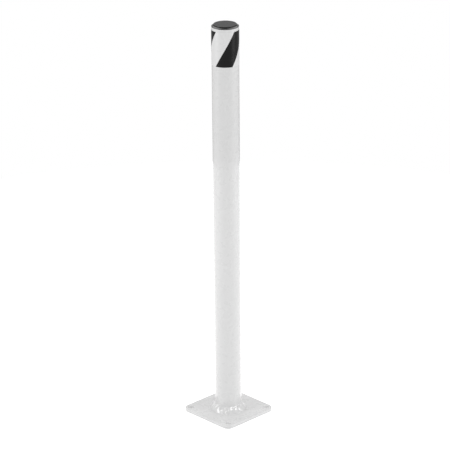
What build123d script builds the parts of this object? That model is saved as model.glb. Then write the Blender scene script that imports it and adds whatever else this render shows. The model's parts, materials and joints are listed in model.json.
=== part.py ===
from build123d import *
import os
from math import degrees, radians, sin, tan

# Steel pipe bollard: a pipe welded upright on a square anchor plate, with a push-in plastic cap
# and one turn of striped reflective tape round its head. Millimetres, +Z up. The origin is the
# centre of the plate's underside and the plate's sides lie along X and Y.

# Plate
plate_side = 150
plate_thickness = 8
plate_corner_radius = 15.5
plate_edge_chamfer = 0.6
anchor_hole_diameter = 12.7
anchor_hole_inset = 14

# Pipe, 2 inch nominal and 36 inches long
pipe_diameter = 60.3
pipe_wall = 3.9
pipe_length = 914.4
pipe_mouth_chamfer = 0.6

# Fillet weld: a bulging bead with ripples that overlap like tipped coins, no two quite alike
weld_height = 13
weld_width = 10
weld_bulge = 1.7
ripple_count = 24
ripple_rise = 0.8
ripple_thickness = 9.4
ripple_rim = 1.8
ripple_slope_depth = 1.0
ripple_depth = 5
ripple_sweep = 80
ripple_tip = 16
ripple_unevenness = 0.45
ripple_beat = 2.4

# Cap
cap_edge_height = 1.5
cap_bevel_height = 1.5
cap_disc_height = 2.0
cap_bevel_width = 2.7
cap_step_draft = 0.4
cap_wall = 2.2
cap_top_wall = 2.6
barrel_depth = 28
barrel_mouth_chamfer = 1.2
fin_count = 4
fin_height = 2.4
fin_root = 1.9
fin_pitch = 5.6
fin_first_drop = 4.2
fin_clearance = 0.08

# Tape and its printed stripes, with lengths round the pipe measured on the tape laid flat
tape_height = 78.5
tape_thickness = 0.35
tape_drop = 6.5
tape_lap = 12
stripe_thickness = 0.12
stripe_width = 39.2
stripe_pitch = 82.3
stripe_lean = 29.5
stripe_start = -22.6
stripe_margin = 2

# The tape's front faces the plate's corner at +X -Y, and its lap is at the back
front_angle = -45
lap_angle = front_angle + 180

pipe_radius = pipe_diameter / 2
bore_radius = pipe_radius - pipe_wall
pipe_top = plate_thickness + pipe_length
tape_radius = pipe_radius + tape_thickness
tape_bottom = pipe_top - tape_drop - tape_height


def arc_degrees(length):
    """Angle taken up by a length of tape round the pipe."""
    return degrees(length / tape_radius)


def ring_sector(inner_radius, outer_radius, start, size):
    """Flat piece of a ring, from one angle round by another."""
    with BuildSketch() as sector:
        with BuildLine():
            outer_arc = CenterArc((0, 0), outer_radius, start, size)
            inner_arc = CenterArc((0, 0), inner_radius, start, size)
            Line(outer_arc @ 0, inner_arc @ 0)
            Line(outer_arc @ 1, inner_arc @ 1)
        make_face()
    return sector.sketch


def printed_stripe(inner_radius, edge_length, field_start, field_size):
    """One leaning stripe of film, cut off where its field of the tape ends."""
    outer_radius = inner_radius + stripe_thickness
    band = ring_sector(
        inner_radius - stripe_margin,
        outer_radius + stripe_margin,
        front_angle + arc_degrees(edge_length),
        arc_degrees(stripe_width),
    )
    leaning_band = Solid.extrude_linear_with_rotation(
        Plane.XY.offset(tape_bottom).from_local_coords(band).face(),
        (0, 0, tape_bottom),
        (0, 0, tape_height),
        arc_degrees(tape_height * tan(radians(stripe_lean))),
    )
    with BuildPart() as stripe:
        with BuildSketch(Plane.XY.offset(tape_bottom)):
            add(ring_sector(inner_radius, outer_radius, field_start, field_size))
        extrude(amount=tape_height)
        add(leaning_band, mode=Mode.INTERSECT)
    return stripe.part


def ripple_coin(radius):
    """Part of a coin's rim with sloping faces, standing for one ripple of the weld."""
    half_thickness = ripple_thickness / 2
    with BuildPart() as coin:
        with BuildSketch(Plane.XZ):
            Polygon(
                (radius - ripple_depth, -half_thickness),
                (radius - ripple_slope_depth, -half_thickness),
                (radius, -ripple_rim / 2),
                (radius, ripple_rim / 2),
                (radius - ripple_slope_depth, half_thickness),
                (radius - ripple_depth, half_thickness),
                align=None,
            )
        revolve(axis=Axis.Z, revolution_arc=ripple_sweep)
    return coin.part


# Anchor plate with its four corner holes
with BuildPart() as base_plate:
    with BuildSketch():
        RectangleRounded(plate_side, plate_side, plate_corner_radius)
    extrude(amount=plate_thickness)
    chamfer(base_plate.edges().group_by(Axis.Z)[-1], plate_edge_chamfer)
    hole_spacing = plate_side - 2 * anchor_hole_inset
    with GridLocations(hole_spacing, hole_spacing, 2, 2):
        Hole(anchor_hole_diameter / 2)

# Pipe, open at both ends and standing on the plate
with BuildPart() as pipe:
    with BuildSketch(Plane.XY.offset(plate_thickness)):
        Circle(pipe_radius)
        Circle(bore_radius, mode=Mode.SUBTRACT)
    extrude(amount=pipe_length)
    chamfer(pipe.edges().group_by(Axis.Z)[-1], pipe_mouth_chamfer)

# Weld: a plain fillet turned round the foot of the pipe, with bulging ripples laid over it
toe = Vector(pipe_radius + weld_width, plate_thickness)
crown = Vector(pipe_radius, plate_thickness + weld_height)
weld_face = SagittaArc(toe, crown, -weld_bulge)
ripple_centre = Pos(weld_face.arc_center.X, 0, weld_face.arc_center.Y)
ripples = [
    Rot(0, 0, number * 360 / ripple_count)
    * ripple_centre
    * Rot(90 + ripple_tip, 0, 0)
    * ripple_coin(weld_face.radius + ripple_rise + ripple_unevenness * sin(ripple_beat * number))
    for number in range(ripple_count)
]
with BuildPart() as weld_bead:
    with BuildSketch(Plane.XZ):
        Polygon(toe, crown, (pipe_radius, plate_thickness), align=None)
    revolve(axis=Axis.Z)
    add(ripples)
    with BuildSketch(Plane.XY.offset(plate_thickness)):
        Circle(pipe_radius + 2 * weld_width)
        Circle(pipe_radius, mode=Mode.SUBTRACT)
    extrude(amount=2 * weld_height, mode=Mode.INTERSECT)

# Cap: a disc stepped up from a bevelled flange, over a hollow barrel whose fins grip the bore
cap_edge_top = pipe_top + cap_edge_height
cap_bevel_top = cap_edge_top + cap_bevel_height
cap_top = cap_bevel_top + cap_disc_height
fin_radius = bore_radius - fin_clearance
barrel_radius = fin_radius - fin_height
barrel_inner_radius = barrel_radius - cap_wall
barrel_end = pipe_top - barrel_depth
with BuildPart() as end_cap:
    with BuildSketch(Plane.XZ):
        with BuildLine():
            step_foot = pipe_radius - cap_bevel_width
            Polyline(
                (0, cap_top),
                (step_foot - cap_step_draft, cap_top),
                (step_foot, cap_bevel_top),
                (pipe_radius, cap_edge_top),
                (pipe_radius, pipe_top),
                (barrel_radius, pipe_top),
                (barrel_radius, barrel_end + barrel_mouth_chamfer),
                (barrel_radius - barrel_mouth_chamfer, barrel_end),
                (barrel_inner_radius, barrel_end),
                (barrel_inner_radius, cap_top - cap_top_wall),
                (0, cap_top - cap_top_wall),
                close=True,
            )
        make_face()
        for fin in range(fin_count):
            fin_top = pipe_top - fin_first_drop - fin * fin_pitch
            Polygon(
                (barrel_radius - cap_wall / 2, fin_top),
                (fin_radius, fin_top),
                (barrel_radius, fin_top - fin_root),
                (barrel_radius - cap_wall / 2, fin_top - fin_root),
                align=None,
            )
    revolve(axis=Axis.Z)

# Reflective tape: one turn, with its end lapped over its start at the back
with BuildPart() as reflective_tape:
    with BuildSketch(Plane.XY.offset(tape_bottom)):
        Circle(tape_radius)
        Circle(pipe_radius, mode=Mode.SUBTRACT)
    extrude(amount=tape_height)
    with BuildSketch(Plane.XY.offset(tape_bottom)):
        add(ring_sector(pipe_radius, tape_radius + tape_thickness, lap_angle, arc_degrees(tape_lap)))
    extrude(amount=tape_height)

# Stripes: two lie on the turn, and the third runs round the back and over the lap
lap_size = arc_degrees(tape_lap)
turn_start = lap_angle + lap_size - 360
half_turn = 180
stripes = [
    printed_stripe(tape_radius, stripe_start, front_angle - half_turn / 2, half_turn),
    printed_stripe(tape_radius, stripe_start - stripe_pitch, turn_start, half_turn - lap_size),
    printed_stripe(tape_radius, stripe_start + stripe_pitch, lap_angle - half_turn / 2, half_turn / 2),
    printed_stripe(
        tape_radius + tape_thickness, stripe_start + stripe_pitch, lap_angle, lap_size
    ),
]
with BuildPart() as tape_stripes:
    add(stripes)

os.makedirs("parts", exist_ok=True)
base_plate.part.label = "base_plate"
export_step(base_plate.part, "parts/base_plate.step")
pipe.part.label = "pipe"
export_step(pipe.part, "parts/pipe.step")
weld_bead.part.label = "weld_bead"
export_step(weld_bead.part, "parts/weld_bead.step")
end_cap.part.label = "end_cap"
export_step(end_cap.part, "parts/end_cap.step")
reflective_tape.part.label = "reflective_tape"
export_step(reflective_tape.part, "parts/reflective_tape.step")
tape_stripes.part.label = "tape_stripes"
export_step(tape_stripes.part, "parts/tape_stripes.step")
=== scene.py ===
import json
from math import cos, hypot, pi, radians, sin, tan

import bmesh
import bpy
from bpy.props import FloatProperty, FloatVectorProperty, IntProperty, PointerProperty
from mathutils import Matrix, Vector


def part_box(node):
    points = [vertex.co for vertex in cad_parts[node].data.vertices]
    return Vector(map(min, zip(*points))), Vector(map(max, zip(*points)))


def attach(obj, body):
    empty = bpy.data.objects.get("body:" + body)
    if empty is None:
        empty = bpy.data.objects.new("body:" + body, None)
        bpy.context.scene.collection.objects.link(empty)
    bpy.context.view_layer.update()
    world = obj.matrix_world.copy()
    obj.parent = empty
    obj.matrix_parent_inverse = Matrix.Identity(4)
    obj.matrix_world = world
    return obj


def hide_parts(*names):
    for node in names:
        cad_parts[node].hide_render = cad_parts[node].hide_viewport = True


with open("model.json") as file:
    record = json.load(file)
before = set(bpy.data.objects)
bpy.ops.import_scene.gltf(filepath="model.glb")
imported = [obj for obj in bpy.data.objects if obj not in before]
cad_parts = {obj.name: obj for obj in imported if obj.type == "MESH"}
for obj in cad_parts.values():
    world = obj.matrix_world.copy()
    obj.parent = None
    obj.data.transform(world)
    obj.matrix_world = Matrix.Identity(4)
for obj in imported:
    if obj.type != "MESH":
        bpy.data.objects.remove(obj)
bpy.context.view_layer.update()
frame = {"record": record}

bl_info = {
    "name": "Pipe Bollard",
    "version": (1, 0, 0),
    "blender": (4, 5, 0),
    "location": "View3D > Sidebar > Bollard",
    "description": "Dresses a welded steel pipe bollard: powder coat, weld, cap and striped tape",
    "category": "Add Mesh",
}

# Places and overall sizes come from the loaded frame, in metres
PLATE_LOW, PLATE_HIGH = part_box("base_plate")
PIPE_LOW, PIPE_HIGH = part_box("pipe")
CAP_LOW, CAP_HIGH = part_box("end_cap")
TAPE_LOW, TAPE_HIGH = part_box("reflective_tape")
COLOURS = {entry["slot"]: tuple(entry["base_color"][:3]) for entry in frame["record"]["materials"]}
BODIES = frame["record"]["behaviour"]["bodies"]

# Fineness of the meshes, and the length below which two points are one
TURNED_SIDES = 192
CORNER_STEPS = 4
TINY = 1e-7
TINY_DIGITS = 7

# Roughness of the powder coat, from its smoothest to its roughest spots, and of the gloss over it
COAT_ROUGHNESS = (0.24, 0.34)
WELD_ROUGHNESS = (0.12, 0.2)
GLOSS_ROUGHNESS = 0.08


# Settings


class AnchorPlateSettings(bpy.types.PropertyGroup):
    """Sizes of the square plate under the post."""

    corner_radius: FloatProperty(
        name="Corner Radius", description="Radius of the plate's corners", default=0.0155, unit="LENGTH"
    )
    edge_round: FloatProperty(
        name="Edge Round", description="Softness of the coated edges", default=0.001, unit="LENGTH"
    )
    hole_diameter: FloatProperty(
        name="Hole Diameter", description="Diameter of each anchor hole", default=0.0127, unit="LENGTH"
    )
    hole_inset: FloatProperty(
        name="Hole Inset", description="From a hole's centre to the sides", default=0.014, unit="LENGTH"
    )


class PipeSettings(bpy.types.PropertyGroup):
    """Sizes of the upright pipe."""

    wall: FloatProperty(
        name="Wall", description="Thickness of the pipe's wall", default=0.0039, unit="LENGTH"
    )
    mouth_round: FloatProperty(
        name="Mouth Round", description="Softness of the upper rim", default=0.0006, unit="LENGTH"
    )


class WeldSettings(bpy.types.PropertyGroup):
    """Shape of the weld round the foot of the pipe."""

    width: FloatProperty(
        name="Width", description="Reach of the weld along the plate", default=0.010, unit="LENGTH"
    )
    height: FloatProperty(
        name="Height", description="Reach of the weld up the pipe", default=0.013, unit="LENGTH"
    )
    bulge: FloatProperty(
        name="Bulge", description="How far the weld's face swells", default=0.0006, unit="LENGTH"
    )
    tuck: FloatProperty(
        name="Tuck", description="How far its edges run into the steel", default=0.0016, unit="LENGTH"
    )
    ripples: IntProperty(name="Ripples", description="Ripples in one turn", default=14, min=3)
    waver: FloatProperty(name="Waver", description="Ripples by which their spacing strays", default=1.2)
    ripple_height: FloatProperty(
        name="Ripple Height", description="Height of a ripple's crest", default=0.0013, unit="LENGTH"
    )
    ripple_lean: FloatProperty(
        name="Ripple Lean", description="Ripples that the crown leads the toe by", default=0.45
    )
    ripple_bow: FloatProperty(
        name="Ripple Bow", description="Ripples that the middle leads the edges by", default=0.4
    )
    lump_height: FloatProperty(
        name="Lump Height", description="Height of the uneven lumps", default=0.0036, unit="LENGTH"
    )
    lump_scale: FloatProperty(name="Lump Scale", description="Lumps in one metre", default=45.0)
    seed: FloatProperty(name="Seed", description="Fixed seed of the lumps", default=60.0)


class EndCapSettings(bpy.types.PropertyGroup):
    """Sizes of the push-in cap."""

    edge_height: FloatProperty(
        name="Edge Height", description="Height of the flange's edge", default=0.0010, unit="LENGTH"
    )
    bevel_height: FloatProperty(
        name="Bevel Height", description="Rise of the flange's bevel", default=0.0017, unit="LENGTH"
    )
    bevel_width: FloatProperty(
        name="Bevel Width", description="Width of the flange's bevel", default=0.0041, unit="LENGTH"
    )
    step_draft: FloatProperty(
        name="Step Draft", description="Slope of the disc's side", default=0.0004, unit="LENGTH"
    )
    edge_round: FloatProperty(
        name="Edge Round", description="Radius of the moulded edges", default=0.0005, unit="LENGTH"
    )
    wall: FloatProperty(
        name="Wall", description="Thickness of the barrel's wall", default=0.0022, unit="LENGTH"
    )
    top_wall: FloatProperty(
        name="Top Wall", description="Thickness of the disc", default=0.0026, unit="LENGTH"
    )
    mouth_chamfer: FloatProperty(
        name="Mouth Chamfer", description="Lead-in at the barrel's end", default=0.0012, unit="LENGTH"
    )
    fins: IntProperty(name="Fins", description="Gripping fins on the barrel", default=4, min=1)
    fin_height: FloatProperty(
        name="Fin Height", description="Reach of a fin from the barrel", default=0.0024, unit="LENGTH"
    )
    fin_root: FloatProperty(
        name="Fin Root", description="Thickness of a fin at the barrel", default=0.0019, unit="LENGTH"
    )
    fin_pitch: FloatProperty(
        name="Fin Pitch", description="Distance from fin to fin", default=0.0056, unit="LENGTH"
    )
    fin_drop: FloatProperty(
        name="Fin Drop", description="From the flange to the first fin", default=0.0042, unit="LENGTH"
    )
    fin_clearance: FloatProperty(
        name="Fin Clearance", description="From a fin's tip to the bore", default=0.00008, unit="LENGTH"
    )


class TapeSettings(bpy.types.PropertyGroup):
    """Sizes of the tape and the pattern printed on it, measured with the tape laid flat."""

    thickness: FloatProperty(
        name="Thickness", description="Thickness of the tape", default=0.00035, unit="LENGTH"
    )
    print_thickness: FloatProperty(
        name="Print Thickness", description="Thickness of the stripes", default=0.00012, unit="LENGTH"
    )
    lap: FloatProperty(
        name="Lap", description="How far the end covers the start", default=0.012, unit="LENGTH"
    )
    ramp: FloatProperty(
        name="Ramp", description="Length over which the end climbs", default=0.003, unit="LENGTH"
    )
    glue: FloatProperty(
        name="Glue", description="Thickness of the glue under the lap", default=0.00002, unit="LENGTH"
    )
    lap_angle: FloatProperty(
        name="Lap Angle", description="Where the tape starts", default=radians(135), subtype="ANGLE"
    )
    stripe_width: FloatProperty(
        name="Stripe Width", description="Width of a stripe", default=0.0392, unit="LENGTH"
    )
    stripe_pitch: FloatProperty(
        name="Stripe Pitch", description="From stripe to stripe", default=0.0823, unit="LENGTH"
    )
    stripe_lean: FloatProperty(
        name="Stripe Lean", description="Lean from upright", default=radians(29.5), subtype="ANGLE"
    )
    stripe_start: FloatProperty(
        name="Stripe Start", description="From the front to its stripe", default=-0.0226, unit="LENGTH"
    )


class FinishSettings(bpy.types.PropertyGroup):
    """Colours of the finishes."""

    coat: FloatVectorProperty(
        name="Powder Coat",
        description="White powder coat on the steel",
        default=COLOURS["white_powder_coat"],
        subtype="COLOR",
    )
    plastic: FloatVectorProperty(
        name="Cap Plastic",
        description="Black plastic of the cap",
        default=COLOURS["black_plastic"],
        subtype="COLOR",
    )
    film: FloatVectorProperty(
        name="Tape Film",
        description="White film of the tape",
        default=COLOURS["white_film"],
        subtype="COLOR",
    )
    stripe: FloatVectorProperty(
        name="Stripe Print",
        description="Black print of the stripes",
        default=COLOURS["black_film"],
        subtype="COLOR",
    )


class StageSettings(bpy.types.PropertyGroup):
    """Camera, floor and light."""

    azimuth: FloatProperty(
        name="Azimuth", description="Side that the camera sees", default=radians(46.1), subtype="ANGLE"
    )
    elevation: FloatProperty(
        name="Elevation", description="How far it looks down", default=radians(21.5), subtype="ANGLE"
    )
    roll: FloatProperty(
        name="Roll", description="Tilt of the picture", default=radians(-0.52), subtype="ANGLE"
    )
    pan: FloatProperty(
        name="Pan", description="Turn of the camera leftwards", default=radians(0.046), subtype="ANGLE"
    )
    distance: FloatProperty(
        name="Distance", description="From the camera to the post", default=5.312, unit="LENGTH"
    )
    look_height: FloatProperty(
        name="Look Height", description="Height that the camera looks at", default=0.459, unit="LENGTH"
    )
    lens: FloatProperty(name="Lens", description="Focal length in millimetres", default=189.86)
    floor_radius: FloatProperty(
        name="Floor Radius", description="Radius of the white floor", default=1.68, unit="LENGTH"
    )
    floor_colour: FloatVectorProperty(
        name="Floor", description="Colour of the floor", default=(0.8, 0.8, 0.8), subtype="COLOR"
    )
    floor_glow: FloatProperty(
        name="Floor Glow", description="What the camera sees added to the floor", default=0.7
    )
    room_level: FloatProperty(
        name="Room Level", description="Light from the room all round", default=0.44
    )
    side_power: FloatProperty(
        name="Side Lamps", description="Power of the two side lamps", default=18.0, unit="POWER"
    )
    front_power: FloatProperty(
        name="Front Lamp", description="Power of the lamp by the camera", default=7.6, unit="POWER"
    )
    corner_power: FloatProperty(
        name="Corner Lamps", description="Power of the two lamps by the cap", default=1.9, unit="POWER"
    )
    back_power: FloatProperty(
        name="Back Lamp", description="Power of the low lamp behind", default=1.4, unit="POWER"
    )


# Node helpers


def feed(tree, socket, value):
    """Link a socket to another, or set its value."""
    if isinstance(value, bpy.types.NodeSocket):
        tree.links.new(value, socket)
    else:
        socket.default_value = value


def add_node(tree, kind, settings=None, **inputs):
    """New node with its own settings and its inputs, which are named with underscores for spaces."""
    node = tree.nodes.new(kind)
    for name, value in (settings or {}).items():
        setattr(node, name, value)
    for name, value in inputs.items():
        feed(tree, node.inputs[name.replace("_", " ")], value)
    return node


def calc(tree, operation, *values):
    """Result of one sum on numbers or sockets."""
    node = tree.nodes.new("ShaderNodeMath")
    node.operation = operation
    for socket, value in zip(node.inputs, values):
        feed(tree, socket, value)
    return node.outputs["Value"]


def map_range(tree, value, low, high, to_low, to_high, smooth=False):
    """Value carried from one range to another."""
    node = tree.nodes.new("ShaderNodeMapRange")
    node.interpolation_type = "SMOOTHSTEP" if smooth else "LINEAR"
    for name, number in (
        ("Value", value),
        ("From Min", low),
        ("From Max", high),
        ("To Min", to_low),
        ("To Max", to_high),
    ):
        feed(tree, node.inputs[name], number)
    return node.outputs["Result"]


# Finishes


def noise(tree, place, scale, detail):
    """Grain of a given fineness, in waves to the metre."""
    node = add_node(tree, "ShaderNodeTexNoise", Vector=place, Scale=scale, Detail=detail)
    return node.outputs["Fac"]


def set_levels(material, **levels):
    """Set inputs of the material's shader, which are named with underscores for spaces."""
    shader = material.node_tree.nodes["Principled BSDF"]
    for name, value in levels.items():
        shader.inputs[name.replace("_", " ")].default_value = value


def finish_material(name, colour, mottle, roughness, grain_scale, grain_depth):
    """Coat or plastic: a slightly mottled colour, uneven gloss and a fine bump."""
    mottle_scale = 14.0
    gloss_scale = 70.0
    noise_range = (0.3, 0.7)
    material = bpy.data.materials.new(name)
    material.use_nodes = True
    tree = material.node_tree
    shader = tree.nodes["Principled BSDF"]
    place = add_node(tree, "ShaderNodeTexCoord").outputs["Object"]
    darker = (*(channel * (1 - mottle) for channel in colour), 1)
    mix = add_node(tree, "ShaderNodeMix", {"data_type": "RGBA"})
    feed(tree, mix.inputs["Factor"], noise(tree, place, mottle_scale, detail=4.0))
    feed(tree, mix.inputs["A"], darker)
    feed(tree, mix.inputs["B"], (*colour, 1))
    tree.links.new(mix.outputs["Result"], shader.inputs["Base Color"])
    unevenness = noise(tree, place, gloss_scale, detail=3.0)
    gloss = map_range(tree, unevenness, *noise_range, *roughness)
    tree.links.new(gloss, shader.inputs["Roughness"])
    bump = add_node(
        tree,
        "ShaderNodeBump",
        Strength=0.5,
        Distance=grain_depth,
        Height=noise(tree, place, grain_scale, detail=2.0),
    )
    tree.links.new(bump.outputs["Normal"], shader.inputs["Normal"])
    return material


def powder_coat(finish, name, roughness=COAT_ROUGHNESS, gloss=1.0):
    """White powder coat with a faint orange peel under a given gloss."""
    material = finish_material(
        name, finish.coat, mottle=0.03, roughness=roughness, grain_scale=380.0, grain_depth=0.00003
    )
    set_levels(material, Coat_Weight=gloss, Coat_Roughness=GLOSS_ROUGHNESS)
    return material


def cap_plastic(finish, name, specular):
    """Black moulded plastic with a fine spark-eroded grain that mirrors as strongly as given."""
    material = finish_material(
        name,
        finish.plastic,
        mottle=0.25,
        roughness=(0.26, 0.34),
        grain_scale=1400.0,
        grain_depth=0.00003,
    )
    set_levels(material, Specular_IOR_Level=specular)
    return material


def tape_film(finish):
    """White retroreflective film, smooth over its buried beads."""
    return finish_material(
        "White Tape Film",
        finish.film,
        mottle=0.02,
        roughness=(0.26, 0.32),
        grain_scale=2600.0,
        grain_depth=0.00001,
    )


def stripe_print(finish):
    """Black print on the film."""
    material = finish_material(
        "Black Stripe Print",
        finish.stripe,
        mottle=0.2,
        roughness=(0.22, 0.3),
        grain_scale=1800.0,
        grain_depth=0.00001,
    )
    set_levels(material, Specular_IOR_Level=0.22)
    return material


# Mesh helpers


def new_piece(name, vertices, faces):
    """Object of one closed mesh whose faces point outwards."""
    mesh = bpy.data.meshes.new(name)
    mesh.from_pydata(vertices, [], faces)
    piece = bpy.data.objects.new(name, mesh)
    bpy.context.scene.collection.objects.link(piece)
    close_up(mesh)
    return piece


def close_up(mesh):
    """Merge doubled points and turn every face outwards."""
    solid = bmesh.new()
    solid.from_mesh(mesh)
    bmesh.ops.remove_doubles(solid, verts=solid.verts, dist=TINY)
    bmesh.ops.dissolve_degenerate(solid, edges=solid.edges, dist=TINY)
    bmesh.ops.recalc_face_normals(solid, faces=solid.faces)
    solid.to_mesh(mesh)
    solid.free()


def circle(x, y, radius, steps):
    """Points of a circle."""
    angles = [2 * pi * step / steps for step in range(steps)]
    return [(x + radius * cos(angle), y + radius * sin(angle)) for angle in angles]


def rounded(points, closed=False):
    """Outline with each corner (x, y, radius) rounded by an arc."""
    outline = []
    last = len(points) - 1
    for number, (x, y, radius) in enumerate(points):
        corner = Vector((x, y))
        if radius < TINY or (not closed and number in (0, last)):
            outline.append((x, y))
            continue
        before = Vector(points[number - 1][:2]) - corner
        after = Vector(points[(number + 1) % len(points)][:2]) - corner
        half_angle = before.angle(after) / 2
        reach = radius / tan(half_angle)
        inward = (before.normalized() + after.normalized()).normalized()
        centre = corner + inward * (radius / sin(half_angle))
        first = corner + before.normalized() * reach - centre
        turn = first.angle_signed(corner + after.normalized() * reach - centre)
        for step in range(CORNER_STEPS + 1):
            spoke = Matrix.Rotation(-turn * step / CORNER_STEPS, 2) @ first
            outline.append(tuple(centre + spoke))
    return outline


def turned_piece(name, outline, closed, sides=TURNED_SIDES):
    """Solid turned round the upright axis from an outline of (radius, height) points."""
    vertices = []
    rings = []
    for radius, height in outline:
        loop = [(0, 0)] if radius < TINY else circle(0, 0, radius, sides)
        rings.append([len(vertices) + number for number in range(len(loop))])
        vertices += [(x, y, height) for x, y in loop]
    faces = []
    for low, high in zip(rings, rings[1:] + (rings[:1] if closed else [])):
        for side in range(sides):
            after = (side + 1) % sides
            corners = [
                low[side % len(low)],
                low[after % len(low)],
                high[after % len(high)],
                high[side % len(high)],
            ]
            faces.append(tuple(dict.fromkeys(corners)))
    return new_piece(name, vertices, faces)


def plain_mesh(piece):
    """Turn what the piece's modifiers or curves make into a plain mesh at the origin."""
    made = piece.evaluated_get(bpy.context.evaluated_depsgraph_get())
    mesh = bpy.data.meshes.new_from_object(made)
    mesh.name = piece.name
    return mesh


def set_down(piece, node, sharp_angle=radians(32)):
    """Shade the piece smoothly, with flat faces kept flat, and let it stand for its CAD node."""
    piece.data.shade_smooth()
    piece.data.set_sharp_from_angle(angle=sharp_angle)
    weighted = piece.modifiers.new("Level Shading", "WEIGHTED_NORMAL")
    weighted.keep_sharp = True
    mesh = plain_mesh(piece)
    piece.modifiers.clear()
    piece.data = mesh
    body = next(name for name, nodes in BODIES.items() if node in nodes)
    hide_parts(node)
    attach(piece, body)


# Geometry trees


def geometry_tree(name, sizes):
    """Empty tree with named number inputs and a material, and the sockets that give them."""
    tree = bpy.data.node_groups.new(name, "GeometryNodeTree")
    sockets = tree.interface
    sockets.new_socket("Geometry", in_out="INPUT", socket_type="NodeSocketGeometry")
    for label in sizes:
        sockets.new_socket(label, in_out="INPUT", socket_type="NodeSocketFloat")
    sockets.new_socket("Material", in_out="INPUT", socket_type="NodeSocketMaterial")
    sockets.new_socket("Geometry", in_out="OUTPUT", socket_type="NodeSocketGeometry")
    given = tree.nodes.new("NodeGroupInput").outputs
    return tree, given


def end_tree(tree, geometry, given):
    """Close a tree: instances made real, and the material set."""
    real = add_node(tree, "GeometryNodeRealizeInstances", Geometry=geometry).outputs["Geometry"]
    painted = add_node(tree, "GeometryNodeSetMaterial", Geometry=real, Material=given["Material"])
    result = tree.nodes.new("NodeGroupOutput")
    tree.links.new(painted.outputs["Geometry"], result.inputs["Geometry"])
    return tree


def run_tree(piece, tree, material, **values):
    """Give the piece a tree's result as its own plain mesh."""
    modifier = piece.modifiers.new(tree.name, "NODES")
    modifier.node_group = tree
    for item in tree.interface.items_tree:
        label = item.name.replace(" ", "_").lower()
        if item.in_out == "INPUT" and label in values:
            modifier[item.identifier] = float(values[label])
        if item.in_out == "INPUT" and item.name == "Material":
            modifier[item.identifier] = material
    mesh = plain_mesh(piece)
    piece.modifiers.clear()
    piece.data = mesh


def ripple_tree():
    """Raises a weld's face into leaning crescent ripples and uneven lumps."""
    drift_seed_step = 5.0
    drift_scale = 0.4
    lump_detail = 1.5
    crest_unevenness = 1.6
    sizes = ["Foot", "Height", "Ripples", "Ripple Height", "Lean", "Bow", "Waver"]
    sizes += ["Lump Height", "Lump Scale", "Seed"]
    tree, given = geometry_tree("Weld Ripples", sizes)
    place = add_node(tree, "GeometryNodeInputPosition").outputs["Position"]
    normal = add_node(tree, "GeometryNodeInputNormal").outputs["Normal"]
    exposed = add_node(tree, "GeometryNodeInputNamedAttribute", {"data_type": "FLOAT"}, Name="exposed")
    parts = add_node(tree, "ShaderNodeSeparateXYZ", Vector=place).outputs
    heading = calc(tree, "DIVIDE", calc(tree, "ARCTAN2", parts["Y"], parts["X"]), 2 * pi)
    level = calc(tree, "DIVIDE", calc(tree, "SUBTRACT", parts["Z"], given["Foot"]), given["Height"])
    # The square of the distance from the middle is 0.25 at both edges, and four times that is 1
    off_middle = calc(tree, "POWER", calc(tree, "ABSOLUTE", calc(tree, "SUBTRACT", level, 0.5)), 2.0)
    bow = calc(tree, "MULTIPLY", off_middle, calc(tree, "MULTIPLY", given["Bow"], 4.0))
    phase = calc(tree, "MULTIPLY", heading, given["Ripples"])
    phase = calc(tree, "MULTIPLY_ADD", level, given["Lean"], phase)
    phase = calc(tree, "SUBTRACT", phase, bow)
    drift = add_node(
        tree,
        "ShaderNodeTexNoise",
        {"noise_dimensions": "4D"},
        Vector=place,
        W=calc(tree, "ADD", given["Seed"], drift_seed_step),
        Scale=calc(tree, "MULTIPLY", given["Lump Scale"], drift_scale),
        Detail=0.0,
    ).outputs["Fac"]
    phase = calc(tree, "MULTIPLY_ADD", calc(tree, "SUBTRACT", drift, 0.5), given["Waver"], phase)
    crest = calc(tree, "ABSOLUTE", calc(tree, "SINE", calc(tree, "MULTIPLY", phase, pi)))
    lumps = add_node(
        tree,
        "ShaderNodeTexNoise",
        {"noise_dimensions": "4D"},
        Vector=place,
        W=given["Seed"],
        Scale=given["Lump Scale"],
        Detail=lump_detail,
    ).outputs["Fac"]
    lumps = calc(tree, "SUBTRACT", lumps, 0.5)
    uneven = calc(tree, "MULTIPLY_ADD", lumps, crest_unevenness, 1.0)
    rise = calc(tree, "MULTIPLY", calc(tree, "MULTIPLY", crest, uneven), given["Ripple Height"])
    rise = calc(tree, "MULTIPLY_ADD", lumps, given["Lump Height"], rise)
    rise = calc(tree, "MULTIPLY", rise, exposed.outputs["Attribute"])
    push = add_node(tree, "ShaderNodeVectorMath", {"operation": "SCALE"}, Vector=normal, Scale=rise)
    moved = add_node(
        tree, "GeometryNodeSetPosition", Geometry=given["Geometry"], Offset=push.outputs["Vector"]
    )
    return end_tree(tree, moved.outputs["Geometry"], given)


def fin_tree():
    """Repeats one fin down the barrel."""
    tree, given = geometry_tree("Cap Fins", ["Fins", "Pitch"])
    drop = add_node(tree, "ShaderNodeCombineXYZ", Z=calc(tree, "MULTIPLY", given["Pitch"], -1.0))
    line = add_node(tree, "GeometryNodeMeshLine", Count=given["Fins"], Offset=drop.outputs["Vector"])
    copies = add_node(
        tree, "GeometryNodeInstanceOnPoints", Points=line.outputs["Mesh"], Instance=given["Geometry"]
    )
    return end_tree(tree, copies.outputs["Instances"], given)


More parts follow.
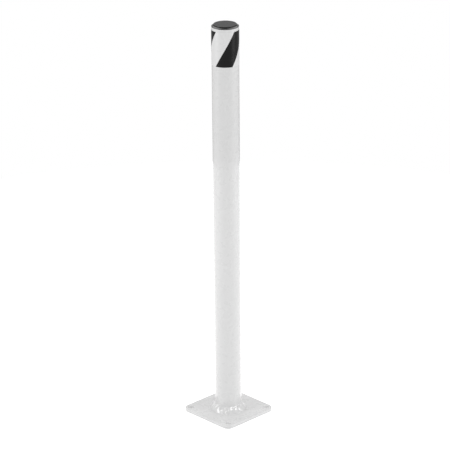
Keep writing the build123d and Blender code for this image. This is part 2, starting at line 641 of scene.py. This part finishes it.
def wrap_tree():
    """Bends a flat upright strip, long in X, round the pipe, and lifts its end over its start."""
    sizes = ["Pipe Radius", "Tape Radius", "Start", "Turn", "Ramp", "Lift"]
    tree, given = geometry_tree("Wrap Round Pipe", sizes)
    place = add_node(tree, "GeometryNodeInputPosition").outputs["Position"]
    parts = add_node(tree, "ShaderNodeSeparateXYZ", Vector=place).outputs
    angle = calc(tree, "ADD", given["Start"], calc(tree, "DIVIDE", parts["X"], given["Tape Radius"]))
    climb_start = calc(tree, "SUBTRACT", given["Turn"], given["Ramp"])
    lift = map_range(tree, parts["X"], climb_start, given["Turn"], 0.0, given["Lift"], smooth=True)
    radius = calc(tree, "ADD", calc(tree, "SUBTRACT", given["Pipe Radius"], parts["Y"]), lift)
    wrapped = add_node(
        tree,
        "ShaderNodeCombineXYZ",
        X=calc(tree, "MULTIPLY", radius, calc(tree, "COSINE", angle)),
        Y=calc(tree, "MULTIPLY", radius, calc(tree, "SINE", angle)),
        Z=parts["Z"],
    )
    bent = add_node(
        tree, "GeometryNodeSetPosition", Geometry=given["Geometry"], Position=wrapped.outputs["Vector"]
    )
    return end_tree(tree, bent.outputs["Geometry"], given)


# Pieces


def add_ring(curve, points):
    """Closed straight-sided loop in a flat curve."""
    loop = curve.splines.new("POLY")
    loop.points.add(len(points) - 1)
    for point, (x, y) in zip(loop.points, points):
        point.co = (x, y, 0, 1)
    loop.use_cyclic_u = True


class BOLLARD_OT_anchor_plate(bpy.types.Operator):
    """Make the square plate with its four anchor holes"""

    bl_idname = "bollard.anchor_plate"
    bl_label = "Anchor Plate"

    hole_steps = 48
    # Raised reflectance of the coat on the hole walls: a painted reflection that makes the holes paler
    # than their shade
    hole_sheen_ior = 3.0
    # Faces steeper than this slope get the glossy copies of the coat, which paint sheen on the sides
    # and hole walls
    edge_slope = 0.7

    def execute(self, context):
        plate = context.scene.bollard_plate
        half = PLATE_HIGH.x
        thickness = PLATE_HIGH.z - PLATE_LOW.z
        curve = bpy.data.curves.new("anchor_plate_outline", "CURVE")
        curve.dimensions = "2D"
        curve.fill_mode = "BOTH"
        curve.bevel_depth = plate.edge_round
        curve.bevel_resolution = CORNER_STEPS
        curve.offset = -plate.edge_round
        curve.extrude = thickness / 2 - plate.edge_round
        corners = [(half, half), (-half, half), (-half, -half), (half, -half)]
        add_ring(curve, rounded([(x, y, plate.corner_radius) for x, y in corners], closed=True))
        inset = half - plate.hole_inset
        for x, y in ((inset, inset), (-inset, inset), (-inset, -inset), (inset, -inset)):
            add_ring(curve, circle(x, y, plate.hole_diameter / 2, self.hole_steps))
        outline = bpy.data.objects.new("anchor_plate_outline", curve)
        context.scene.collection.objects.link(outline)
        mesh = plain_mesh(outline)
        bpy.data.objects.remove(outline)
        mesh.transform(Matrix.Translation((0, 0, (PLATE_LOW.z + PLATE_HIGH.z) / 2)))
        close_up(mesh)
        piece = bpy.data.objects.new("coated_plate", mesh)
        context.scene.collection.objects.link(piece)
        finish = context.scene.bollard_finish
        # The top is left without the gloss coat and the steep sides get it: one coat split into a dull
        # and a glossier copy, a painted sheen that makes the sides lighter than the top
        mesh.materials.append(powder_coat(finish, "White Coat On Plate", gloss=0.0))
        mesh.materials.append(powder_coat(finish, "White Coat On Edges With Painted Sheen"))
        # The hole walls get a copy of the coat that mirrors far more strongly, a painted reflection
        # that lightens them
        hole_sheen_coat = powder_coat(finish, "White Coat In Holes With Painted Sheen")
        set_levels(hole_sheen_coat, IOR=self.hole_sheen_ior)
        mesh.materials.append(hole_sheen_coat)
        sheen_edge_slot = mesh.materials.find("White Coat On Edges With Painted Sheen")
        hole_sheen_slot = mesh.materials.find(hole_sheen_coat.name)
        for face in mesh.polygons:
            if abs(face.normal.z) < self.edge_slope:
                away = hypot(abs(face.center.x) - inset, abs(face.center.y) - inset)
                in_hole = away < plate.hole_diameter / 2 + plate.edge_round
                face.material_index = hole_sheen_slot if in_hole else sheen_edge_slot
        set_down(piece, "base_plate")
        return {"FINISHED"}


class BOLLARD_OT_pipe(bpy.types.Operator):
    """Make the upright pipe with its softened rim"""

    bl_idname = "bollard.pipe"
    bl_label = "Pipe"

    def execute(self, context):
        pipe = context.scene.bollard_pipe
        outer = PIPE_HIGH.x
        bore = outer - pipe.wall
        corners = [
            (bore, PIPE_LOW.z, 0),
            (outer, PIPE_LOW.z, 0),
            (outer, PIPE_HIGH.z, pipe.mouth_round),
            (bore, PIPE_HIGH.z, pipe.mouth_round),
        ]
        piece = turned_piece("coated_pipe", rounded(corners, closed=True), closed=True)
        piece.data.materials.append(powder_coat(context.scene.bollard_finish, "White Coat On Pipe"))
        set_down(piece, "pipe")
        return {"FINISHED"}


class BOLLARD_OT_weld(bpy.types.Operator):
    """Make the rippled weld round the foot of the pipe"""

    bl_idname = "bollard.weld"
    bl_label = "Weld"

    sides = 720
    face_steps = 30
    sharp_angle = radians(70)

    def execute(self, context):
        weld = context.scene.bollard_weld
        foot = PLATE_HIGH.z
        outer = PIPE_HIGH.x
        toe = Vector((outer + weld.width, foot))
        crown = Vector((outer, foot + weld.height))
        along = (crown - toe).normalized()
        outward = Vector((along.y, -along.x))
        toe -= along * weld.tuck
        crown += along * weld.tuck
        length = (crown - toe).length
        face = []
        for step in range(self.face_steps + 1):
            share = step / self.face_steps
            hump = 4 * share * (1 - share)
            face.append(tuple(toe + along * length * share + outward * (weld.bulge * hump)))
        root = (outer - weld.tuck, foot - weld.tuck)
        piece = turned_piece("rippled_weld", face + [root], closed=True, sides=self.sides)
        exposed = piece.data.attributes.new("exposed", "FLOAT", "POINT")
        for vertex in piece.data.vertices:
            exposed.data[vertex.index].value = float(vertex.co.length > hypot(*root) + TINY)
        coat = powder_coat(context.scene.bollard_finish, "White Coat On Weld", WELD_ROUGHNESS)
        run_tree(
            piece,
            ripple_tree(),
            coat,
            foot=foot,
            height=weld.height,
            ripples=weld.ripples,
            ripple_height=weld.ripple_height,
            lean=weld.ripple_lean,
            bow=weld.ripple_bow,
            waver=weld.waver,
            lump_height=weld.lump_height,
            lump_scale=weld.lump_scale,
            seed=weld.seed,
        )
        set_down(piece, "weld_bead", self.sharp_angle)
        return {"FINISHED"}


class BOLLARD_OT_end_cap(bpy.types.Operator):
    """Make the black cap with its stepped head and finned barrel"""

    bl_idname = "bollard.end_cap"
    bl_label = "End Cap"

    edge_slope = 0.8
    specular = 0.5
    # Weaker mirroring on the disc's side: painted shade that darkens the step line
    step_shade_specular = 0.1

    def execute(self, context):
        cap = context.scene.bollard_cap
        finish = context.scene.bollard_finish
        material = cap_plastic(finish, "Black Cap Plastic", self.specular)
        seat = PIPE_HIGH.z
        flange = CAP_HIGH.x
        edge_top = seat + cap.edge_height
        bevel_top = edge_top + cap.bevel_height
        step_foot = flange - cap.bevel_width
        fin_tip = PIPE_HIGH.x - context.scene.bollard_pipe.wall - cap.fin_clearance
        barrel = fin_tip - cap.fin_height
        inside = barrel - cap.wall
        ceiling = CAP_HIGH.z - cap.top_wall
        soft = cap.edge_round
        crisp = cap.edge_round / 4
        head = [
            (0, CAP_HIGH.z, 0),
            (step_foot - cap.step_draft, CAP_HIGH.z, soft),
            (step_foot, bevel_top, soft / 2),
            (flange, edge_top, soft),
            (flange, seat, crisp),
            (barrel, seat, soft),
            (barrel, CAP_LOW.z + cap.mouth_chamfer, soft),
            (barrel - cap.mouth_chamfer, CAP_LOW.z, crisp),
            (inside, CAP_LOW.z, crisp),
            (inside, ceiling, soft * 2),
            (0, ceiling, 0),
        ]
        piece = turned_piece("finned_cap", rounded(head), closed=False)
        piece.data.materials.append(material)
        # The disc's near-upright side gets a copy of the plastic that mirrors far less, painted shade
        # that draws the step as a dark line
        step_shade_plastic = cap_plastic(finish, "Black Plastic With Painted Shade On Step", self.step_shade_specular)
        piece.data.materials.append(step_shade_plastic)
        step_shade_slot = piece.data.materials.find(step_shade_plastic.name)
        for face in piece.data.polygons:
            off_step = abs(hypot(face.center.x, face.center.y) - step_foot)
            on_step = off_step < 2 * cap.step_draft and face.center.z > bevel_top
            if on_step and abs(face.normal.z) < self.edge_slope:
                face.material_index = step_shade_slot
        first = seat - cap.fin_drop
        fin = [
            (barrel - cap.wall / 2, first, 0),
            (fin_tip, first, soft / 3),
            (barrel, first - cap.fin_root, 0),
            (barrel - cap.wall / 2, first - cap.fin_root, 0),
        ]
        fins = turned_piece("cap_fins", rounded(fin, closed=True), closed=True)
        run_tree(fins, fin_tree(), material, fins=cap.fins, pitch=cap.fin_pitch)
        with context.temp_override(active_object=piece, selected_editable_objects=[piece, fins]):
            bpy.ops.object.join()
        set_down(piece, "end_cap")
        return {"FINISHED"}


def flat_strip(name, columns, low, high, near, far):
    """Thin upright strip along X between two edges, standing off the XZ plane from near to far."""
    vertices = []
    for x in columns:
        for y in (-near, -far):
            vertices += [(x, y, low(x)), (x, y, high(x))]
    faces = [(0, 1, 3, 2)]
    for column in range(len(columns) - 1):
        a = 4 * column
        b = a + 4
        faces += [(a, a + 1, b + 1, b), (a + 2, b + 2, b + 3, a + 3)]
        faces += [(a, b, b + 2, a + 2), (a + 1, a + 3, b + 3, b + 1)]
    end = 4 * (len(columns) - 1)
    faces.append((end, end + 2, end + 3, end + 1))
    return new_piece(name, vertices, faces)


def spread(start, end, step, stops):
    """Even places from start to end, with the stops that lie between them."""
    count = max(1, round((end - start) / step))
    places = [start + (end - start) * number / count for number in range(count + 1)]
    places += [stop for stop in stops if start < stop < end]
    return sorted({round(place, TINY_DIGITS) for place in places})


def wrap(piece, tree, material, tape):
    """Bend a flat piece of the tape round the pipe."""
    tape_radius = PIPE_HIGH.x + tape.thickness
    run_tree(
        piece,
        tree,
        material,
        pipe_radius=PIPE_HIGH.x,
        tape_radius=tape_radius,
        start=tape.lap_angle,
        turn=2 * pi * tape_radius,
        ramp=tape.ramp,
        lift=tape.thickness + tape.glue,
    )
    close_up(piece.data)


class BOLLARD_OT_tape(bpy.types.Operator):
    """Wrap the white tape and its black stripes round the head of the pipe"""

    bl_idname = "bollard.tape"
    bl_label = "Striped Tape"

    column = 0.001

    def execute(self, context):
        tape = context.scene.bollard_tape
        finish = context.scene.bollard_finish
        tree = wrap_tree()
        low, high = TAPE_LOW.z, TAPE_HIGH.z
        turn = 2 * pi * (PIPE_HIGH.x + tape.thickness)
        length = turn + tape.lap
        columns = spread(0, length, self.column, [turn - tape.ramp, turn])
        film = flat_strip("tape_film", columns, lambda x: low, lambda x: high, 0, tape.thickness)
        wrap(film, tree, tape_film(finish), tape)
        set_down(film, "reflective_tape")
        slope = tan(tape.stripe_lean)
        reach = (high - low) * slope
        material = stripe_print(finish)
        stripes = []
        for number in (-1, 0, 1):
            edge = turn / 2 + tape.stripe_start + number * tape.stripe_pitch
            start = max(edge, tape.lap)
            end = min(edge + tape.stripe_width + reach, length)
            stops = [edge + tape.stripe_width, edge + reach, turn - tape.ramp, turn]
            stripe = flat_strip(
                "tape_stripe_%d" % (number + 2),
                spread(start, end, self.column, stops),
                lambda x: low + max(0, (x - edge - tape.stripe_width) / slope),
                lambda x: low + min(high - low, max(0, (x - edge) / slope)),
                tape.thickness,
                tape.thickness + tape.print_thickness,
            )
            wrap(stripe, tree, material, tape)
            stripes.append(stripe)
        with context.temp_override(active_object=stripes[0], selected_editable_objects=stripes):
            bpy.ops.object.join()
        stripes[0].name = "tape_print"
        set_down(stripes[0], "tape_stripes")
        return {"FINISHED"}


# Stage


def aimed(place, target, roll=0.0):
    """Matrix that stands at a place and looks at a target."""
    back = (place - target).normalized()
    right = Vector((0, 0, 1)).cross(back).normalized()
    up = back.cross(right)
    turn = Matrix((right, up, back)).transposed() @ Matrix.Rotation(roll, 3, "Z")
    return Matrix.Translation(place) @ turn.to_4x4()


def around(azimuth, elevation, distance, target):
    """Place at a distance from a target, seen from an azimuth and an elevation."""
    flat = cos(elevation)
    return target + distance * Vector((sin(azimuth) * flat, -cos(azimuth) * flat, sin(elevation)))


def shown_to(tree, *kinds):
    """1 for rays of the given kinds, which see the background, and 0 for rays that light the object."""
    rays = tree.nodes.new("ShaderNodeLightPath")
    total = rays.outputs[kinds[0]]
    for kind in kinds[1:]:
        total = calc(tree, "MAXIMUM", total, rays.outputs[kind])
    return total


def floor_material(stage):
    """White floor that shows white to the camera and keeps the object's shadow."""
    material = bpy.data.materials.new("White Floor")
    material.use_nodes = True
    colour = (*stage.floor_colour, 1)
    white = (1, 1, 1, 1)
    set_levels(material, Base_Color=colour, Roughness=0.9, Specular_IOR_Level=0.0, Emission_Color=white)
    tree = material.node_tree
    shown = shown_to(tree, "Is Camera Ray", "Is Glossy Ray", "Is Transmission Ray")
    glow = calc(tree, "MULTIPLY", shown, stage.floor_glow)
    feed(tree, tree.nodes["Principled BSDF"].inputs["Emission Strength"], glow)
    return material


def room_light(stage):
    """World that is white to the camera and a plain soft grey to the object."""
    world = bpy.data.worlds.new("Studio Room")
    bpy.context.scene.world = world
    world.use_nodes = True
    tree = world.node_tree
    background = tree.nodes["Background"]
    background.inputs["Color"].default_value = (1, 1, 1, 1)
    shown = shown_to(tree, "Is Camera Ray", "Is Transmission Ray")
    feed(tree, background.inputs["Strength"], map_range(tree, shown, 0, 1, stage.room_level, 1.0))


def soft_lamp(name, place, target, size, power):
    """Square soft lamp."""
    lamp = bpy.data.lights.new(name, "AREA")
    lamp.size = size
    lamp.energy = power
    holder = bpy.data.objects.new(name, lamp)
    bpy.context.scene.collection.objects.link(holder)
    holder.matrix_world = aimed(place, target)


class BOLLARD_OT_stage(bpy.types.Operator):
    """Lay the floor, set the lamps and place the camera"""

    bl_idname = "bollard.stage"
    bl_label = "Stage"

    floor_steps = 128
    side_angle = radians(70)
    side_elevation = radians(11)
    front_elevation = radians(58)
    lamp_distance = 2.2
    side_size = 1.1
    front_size = 0.55
    corner_angle = radians(140)
    corner_elevation = radians(46)
    corner_distance = 0.7
    corner_size = 0.42
    back_elevation = radians(9)
    back_size = 0.8

    def execute(self, context):
        stage = context.scene.bollard_stage
        points = [(x, y, PLATE_LOW.z) for x, y in circle(0, 0, stage.floor_radius, self.floor_steps)]
        mesh = bpy.data.meshes.new("studio_floor")
        mesh.from_pydata(points, [], [tuple(range(self.floor_steps))])
        mesh.materials.append(floor_material(stage))
        floor = bpy.data.objects.new("studio_floor", mesh)
        context.scene.collection.objects.link(floor)
        room_light(stage)
        middle = Vector((0, 0, stage.look_height))
        for name, side in (("left_lamp", -1), ("right_lamp", 1)):
            azimuth = stage.azimuth + side * self.side_angle
            place = around(azimuth, self.side_elevation, self.lamp_distance, middle)
            soft_lamp(name, place, middle, self.side_size, stage.side_power)
        place = around(stage.azimuth, self.front_elevation, self.lamp_distance, middle)
        soft_lamp("front_lamp", place, middle, self.front_size, stage.front_power)
        head = Vector((0, 0, CAP_HIGH.z))
        for name, side in (("left_corner_lamp", -1), ("right_corner_lamp", 1)):
            azimuth = stage.azimuth + side * self.corner_angle
            place = around(azimuth, self.corner_elevation, self.corner_distance, head)
            soft_lamp(name, place, head, self.corner_size, stage.corner_power)
        place = around(stage.azimuth + pi, self.back_elevation, self.lamp_distance, middle)
        soft_lamp("back_lamp", place, middle, self.back_size, stage.back_power)
        camera = bpy.data.cameras.new("photo_camera")
        camera.lens = stage.lens
        camera.clip_end = 100
        holder = bpy.data.objects.new("photo_camera", camera)
        context.scene.collection.objects.link(holder)
        place = around(stage.azimuth, stage.elevation, stage.distance, middle)
        holder.matrix_world = aimed(place, middle, stage.roll) @ Matrix.Rotation(stage.pan, 4, "Y")
        context.scene.camera = holder
        context.scene.view_settings.view_transform = "Standard"
        return {"FINISHED"}


# Add-on


class BOLLARD_PT_panel(bpy.types.Panel):
    """Buttons for the pieces and the stage, with their settings"""

    bl_idname = "BOLLARD_PT_panel"
    bl_label = "Pipe Bollard"
    bl_space_type = "VIEW_3D"
    bl_region_type = "UI"
    bl_category = "Bollard"

    def draw(self, context):
        for operator, settings in OPERATORS:
            box = self.layout.box()
            box.operator(operator.bl_idname)
            group = getattr(context.scene, settings)
            for name in group.bl_rna.properties.keys():
                if name not in ("rna_type", "name"):
                    box.prop(group, name)


SETTINGS = {
    "bollard_plate": AnchorPlateSettings,
    "bollard_pipe": PipeSettings,
    "bollard_weld": WeldSettings,
    "bollard_cap": EndCapSettings,
    "bollard_tape": TapeSettings,
    "bollard_finish": FinishSettings,
    "bollard_stage": StageSettings,
}
OPERATORS = (
    (BOLLARD_OT_anchor_plate, "bollard_plate"),
    (BOLLARD_OT_pipe, "bollard_pipe"),
    (BOLLARD_OT_weld, "bollard_weld"),
    (BOLLARD_OT_end_cap, "bollard_cap"),
    (BOLLARD_OT_tape, "bollard_tape"),
    (BOLLARD_OT_stage, "bollard_stage"),
)


def register():
    """Register the classes and hang the settings on the scene."""
    for name, group in SETTINGS.items():
        bpy.utils.register_class(group)
        setattr(bpy.types.Scene, name, PointerProperty(type=group))
    for operator, _ in OPERATORS:
        bpy.utils.register_class(operator)
    bpy.utils.register_class(BOLLARD_PT_panel)


def unregister():
    """Take everything off again."""
    bpy.utils.unregister_class(BOLLARD_PT_panel)
    for operator, _ in reversed(OPERATORS):
        bpy.utils.unregister_class(operator)
    for name, group in SETTINGS.items():
        delattr(bpy.types.Scene, name)
        bpy.utils.unregister_class(group)


def main():
    register()
    bpy.ops.bollard.anchor_plate()
    bpy.ops.bollard.pipe()
    bpy.ops.bollard.weld()
    bpy.ops.bollard.end_cap()
    bpy.ops.bollard.tape()
    bpy.ops.bollard.stage()


if __name__ == "__main__":
    main()
